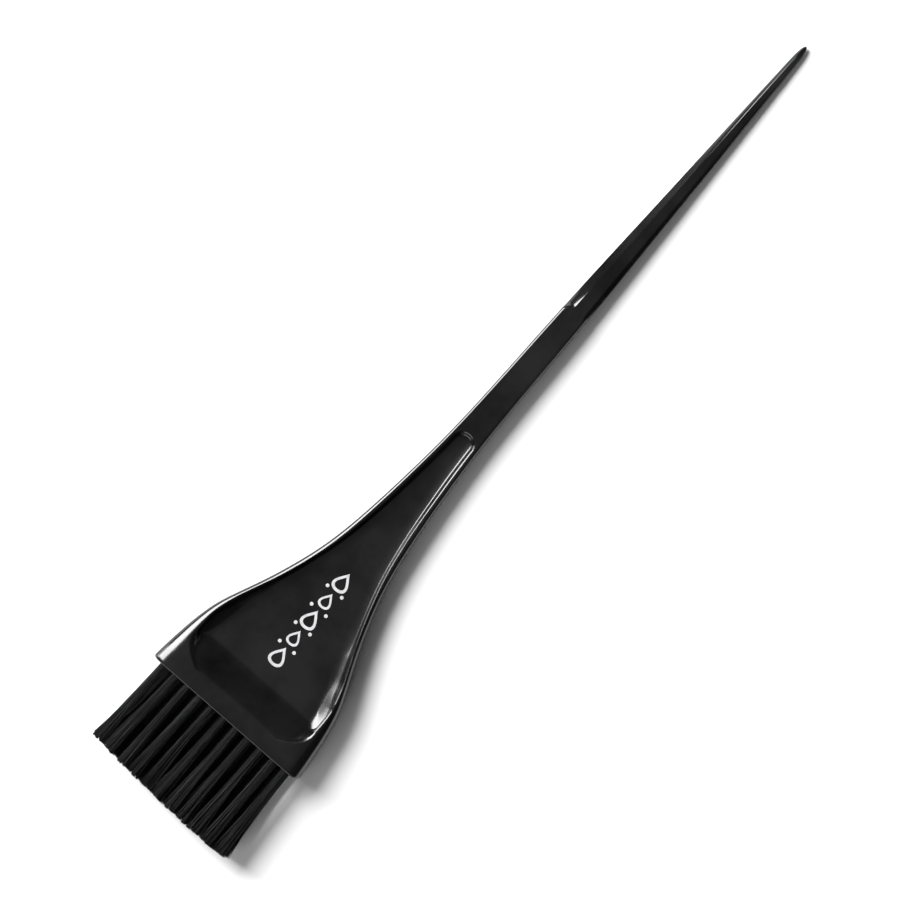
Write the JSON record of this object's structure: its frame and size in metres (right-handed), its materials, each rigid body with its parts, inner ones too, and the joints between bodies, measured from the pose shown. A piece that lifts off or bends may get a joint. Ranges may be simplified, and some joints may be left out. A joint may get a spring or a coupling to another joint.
{
  "type": "tint brush",
  "caption": "Hair tint brush: flat flared head with a straight field of stiff bristle tufts, a shallow dished panel on each face, a slim neck and a long pointed parting tail.",
  "frame": {"origin": "under the middle of the overall length, on the surface that the head's back face rests on", "axes": "+X across the head, +Y from the bristle tips to the tail's point, +Z out of the front face"},
  "size_m": [0.0422, 0.22, 0.01],
  "materials": {
    "handle_plastic": "black injection-moulded plastic, polished mould surface with fine handling scratches",
    "bristle_nylon": "black nylon filament, satin",
    "anchor_wire": "drawn flat wire, sheared ends"
  },
  "bodies": {
    "root": {"handle": "handle_plastic", "tuft_front_01": "bristle_nylon", "tuft_front_02": "bristle_nylon", "tuft_front_03": "bristle_nylon", "tuft_front_04": "bristle_nylon", "tuft_front_05": "bristle_nylon", "tuft_front_06": "bristle_nylon", "tuft_front_07": "bristle_nylon", "tuft_front_08": "bristle_nylon", "tuft_front_09": "bristle_nylon", "tuft_front_10": "bristle_nylon", "tuft_front_11": "bristle_nylon", "tuft_middle_01": "bristle_nylon", "tuft_middle_02": "bristle_nylon", "tuft_middle_03": "bristle_nylon", "tuft_middle_04": "bristle_nylon", "tuft_middle_05": "bristle_nylon", "tuft_middle_06": "bristle_nylon", "tuft_middle_07": "bristle_nylon", "tuft_middle_08": "bristle_nylon", "tuft_middle_09": "bristle_nylon", "tuft_middle_10": "bristle_nylon", "tuft_back_01": "bristle_nylon", "tuft_back_02": "bristle_nylon", "tuft_back_03": "bristle_nylon", "tuft_back_04": "bristle_nylon", "tuft_back_05": "bristle_nylon", "tuft_back_06": "bristle_nylon", "tuft_back_07": "bristle_nylon", "tuft_back_08": "bristle_nylon", "tuft_back_09": "bristle_nylon", "tuft_back_10": "bristle_nylon", "tuft_back_11": "bristle_nylon", "anchors_front_row": "anchor_wire", "anchors_middle_row": "anchor_wire", "anchors_back_row": "anchor_wire"}
  },
  "joints": []
}
